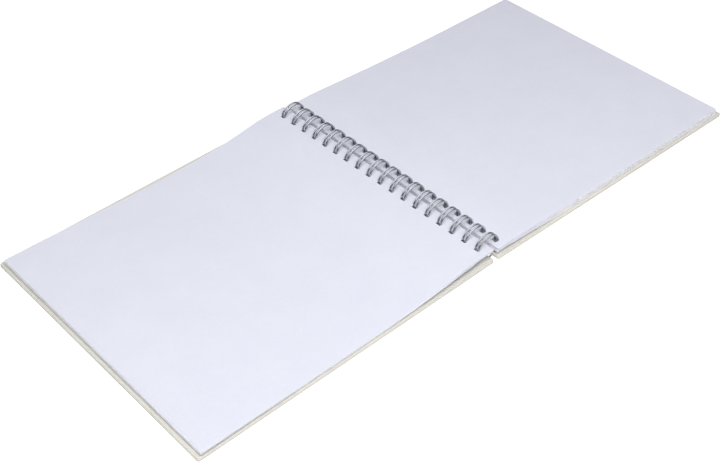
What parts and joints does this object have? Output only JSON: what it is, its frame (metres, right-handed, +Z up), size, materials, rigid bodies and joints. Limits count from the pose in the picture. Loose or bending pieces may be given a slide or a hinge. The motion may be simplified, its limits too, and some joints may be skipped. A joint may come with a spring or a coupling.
{
  "type": "wire-bound sketchbook",
  "caption": "Nearly square hard-cover sketchbook lying open and flat, blank drawing leaves held between two stiff covers by a twin-loop wire along the spine.",
  "frame": {"origin": "on the table, under the middle of the spine", "axes": "+X across the spine towards the back cover, +Y along the spine away from the front edge, +Z up from the table"},
  "size_m": [0.3488, 0.16, 0.0147],
  "materials": {
    "cover_sheet": "cream covering sheet, matt",
    "board": "stiff board, raw",
    "liner": "cream lining sheet, matt",
    "paper": "white drawing paper with a fine tooth",
    "wire": "bright nickel-plated round wire"
  },
  "bodies": {
    "back_cover": {"back_cover_wrap": "cover_sheet", "back_cover_board": "board", "back_cover_liner": "liner"},
    "front_cover": {"front_cover_wrap": "cover_sheet", "front_cover_board": "board", "front_cover_liner": "liner"},
    "left_leaves": {"left_leaf_1": "paper", "left_leaf_2": "paper", "left_leaf_3": "paper", "left_leaf_4": "paper", "left_leaf_5": "paper"},
    "left_top_leaf": {"left_leaf_6": "paper"},
    "right_leaves": {"right_leaf_1": "paper", "right_leaf_2": "paper", "right_leaf_3": "paper", "right_leaf_4": "paper", "right_leaf_5": "paper", "right_leaf_6": "paper", "right_leaf_7": "paper", "right_leaf_8": "paper", "right_leaf_9": "paper", "right_leaf_10": "paper", "right_leaf_11": "paper", "right_leaf_12": "paper"},
    "right_top_leaf": {"right_leaf_13": "paper"},
    "wire": {"twin_loop_wire": "wire"}
  },
  "joints": [
    {"name": "front_cover_turn", "type": "hinge", "parent": "back_cover", "child": "front_cover", "pos_m": [0, 0, 0.00737], "axis": [0, 1, 0], "range_deg": [-30, 177]},
    {"name": "left_leaves_settle", "type": "hinge", "parent": "front_cover", "child": "left_leaves", "pos_m": [-0.075, 0, 0.00375], "axis": [0, 1, 0], "range_deg": [-0.4, 2.35]},
    {"name": "left_top_leaf_turn", "type": "hinge", "parent": "left_leaves", "child": "left_top_leaf", "pos_m": [0, 0, 0.0089], "axis": [0, -1, 0], "range_deg": [-176, 0]},
    {"name": "right_leaves_turn", "type": "hinge", "parent": "back_cover", "child": "right_leaves", "pos_m": [0, 0, 0.0089], "axis": [0, 1, 0], "range_deg": [-176, 0]},
    {"name": "right_top_leaf_turn", "type": "hinge", "parent": "right_leaves", "child": "right_top_leaf", "pos_m": [0, 0, 0.0089], "axis": [0, -1, 0], "range_deg": [0, 176]},
    {"name": "wire_turn", "type": "hinge", "parent": "back_cover", "child": "wire", "pos_m": [0, 0, 0.00737], "axis": [0, 1, 0], "range_deg": [-1.8, 1.8]}
  ],
  "couplings": [
    {"joint": "left_leaves_settle", "follows": "front_cover_turn", "ratio": 0.013}
  ]
}
